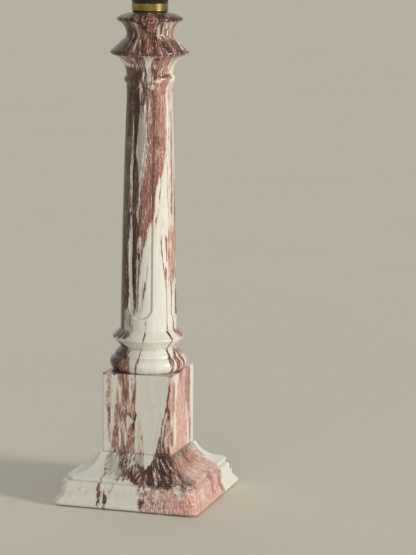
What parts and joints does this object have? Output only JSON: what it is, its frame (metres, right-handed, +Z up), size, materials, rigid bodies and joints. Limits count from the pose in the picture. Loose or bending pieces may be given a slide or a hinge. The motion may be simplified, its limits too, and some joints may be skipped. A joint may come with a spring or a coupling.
{
  "type": "table lamp",
  "caption": "Marbled glazed column lamp base with a square moulded foot, a fluted shaft, a brass collar and a black switched screw lampholder.",
  "frame": {"origin": "centre of the underside of the felt under the foot", "axes": "+Z up along the column's axis; +X, +Y, -X and -Y each look square out of one side of the foot, the cord inlet is in the +Y side and the switch bar lies along X"},
  "size_m": [0.15, 0.15, 0.5542],
  "materials": {
    "marbled_glaze": "gloss glaze, cream and salmon marbling with dark brown veins",
    "felt": "felt",
    "rubber": "matte",
    "steel": "zinc plated",
    "brass": "polished, slightly tarnished",
    "black_phenolic": "moulded, semi-gloss",
    "contact_brass": "plain",
    "porcelain": "unglazed"
  },
  "bodies": {
    "lamp": {"plinth": "marbled_glaze", "column": "marbled_glaze", "felt_pad": "felt", "cord_bush": "rubber", "threaded_tube": "steel", "base_cushion": "rubber", "base_washer": "steel", "lock_washer": "steel", "base_nut": "steel", "top_cushion": "rubber", "brass_collar": "brass", "top_nut": "brass", "lampholder_cap": "black_phenolic", "grub_screw": "steel", "switch_posts": "contact_brass", "lampholder_core": "porcelain", "terminals": "contact_brass", "terminal_screws": "steel", "contact_rivets": "contact_brass", "screw_shell": "contact_brass", "centre_contact": "contact_brass", "lampholder_sleeve": "black_phenolic"},
    "switch": {"push_bar": "black_phenolic", "bar_button": "black_phenolic", "contact_bridge": "contact_brass"},
    "ring": {"shade_ring": "black_phenolic"}
  },
  "joints": [
    {"name": "switch_push", "type": "slide", "parent": "lamp", "child": "switch", "axis": [1, 0, 0], "range_m": [0, 0.0045]},
    {"name": "shade_ring_lift", "type": "slide", "parent": "lamp", "child": "ring", "axis": [0, 0, 1], "range_m": [0, 0.019]}
  ]
}
